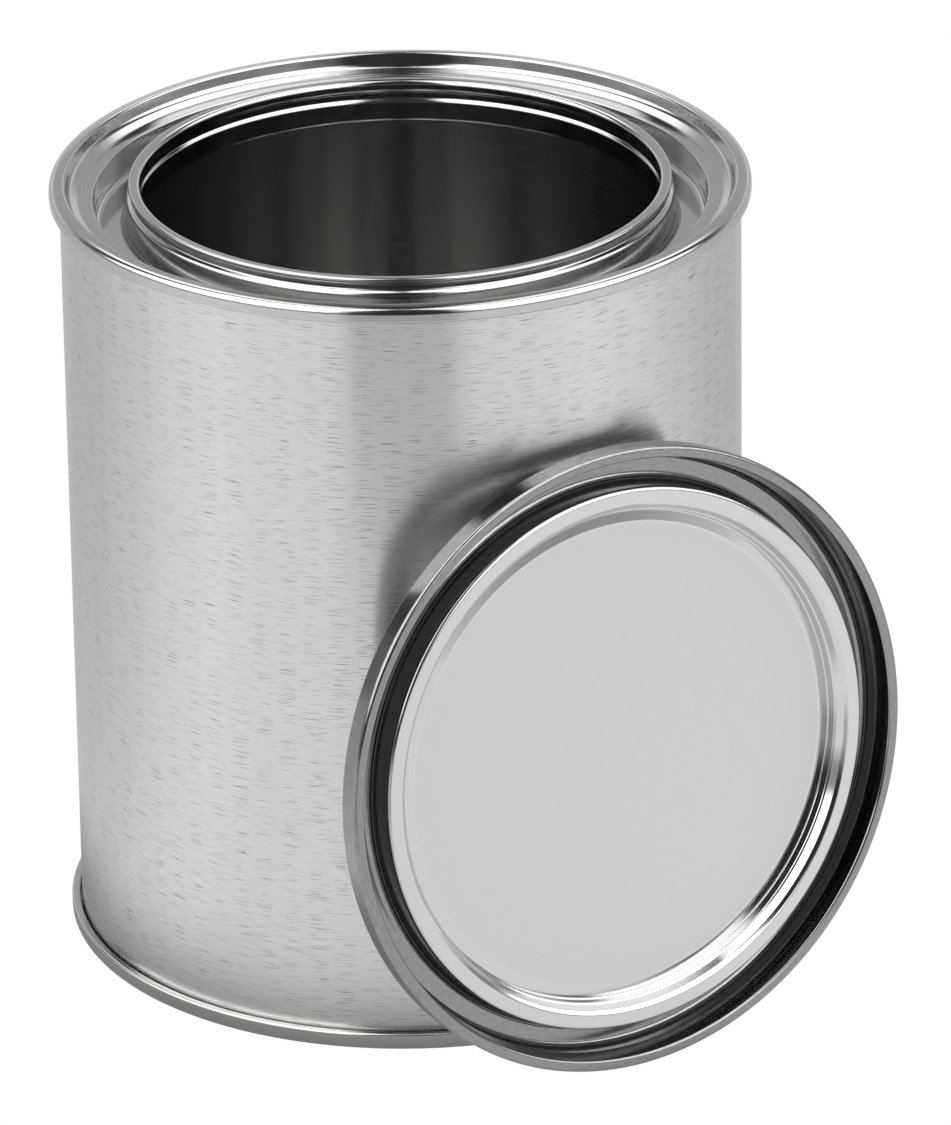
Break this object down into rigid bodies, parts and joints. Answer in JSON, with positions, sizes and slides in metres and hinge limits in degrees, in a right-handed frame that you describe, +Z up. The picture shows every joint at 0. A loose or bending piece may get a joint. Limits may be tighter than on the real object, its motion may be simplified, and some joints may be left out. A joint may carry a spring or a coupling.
{
  "type": "paint can",
  "caption": "Quart paint can in bare tinplate, with a double-seamed friction ring and its pressed lid leaning against the wall.",
  "frame": {"origin": "on the floor, at the middle of the box round the can and its leaning lid; the can's own axis is at x = -10.72 mm, y = +13.40 mm", "axes": "+Z up along the can's axis; -Y is the front; the lid leans on the wall at the front right, 31.5 degrees from -Y towards +X"},
  "size_m": [0.1294, 0.1348, 0.1238],
  "materials": {
    "tinplate_wall": "bare rolled tinplate, satin, with short grain lines round the can",
    "tinplate_ring": "bare tinplate, burnished where it is pressed and seamed",
    "tinplate_end": "bare tinplate, satin, burnished at the seam",
    "tinplate_lid": "bare tinplate, matte flat panel inside burnished pressed rings",
    "sealing_compound": "dried can-end sealing compound"
  },
  "bodies": {
    "can": {"body_shell": "tinplate_wall", "friction_ring": "tinplate_ring", "bottom_end": "tinplate_end", "top_seam_compound": "sealing_compound", "bottom_seam_compound": "sealing_compound"},
    "lid": {"lid": "tinplate_lid"}
  },
  "joints": [
    {"name": "lid_lift", "type": "slide", "parent": "can", "child": "lid", "axis": [0.2612, -0.4263, 0.866], "range_m": [0, 0.16]}
  ]
}
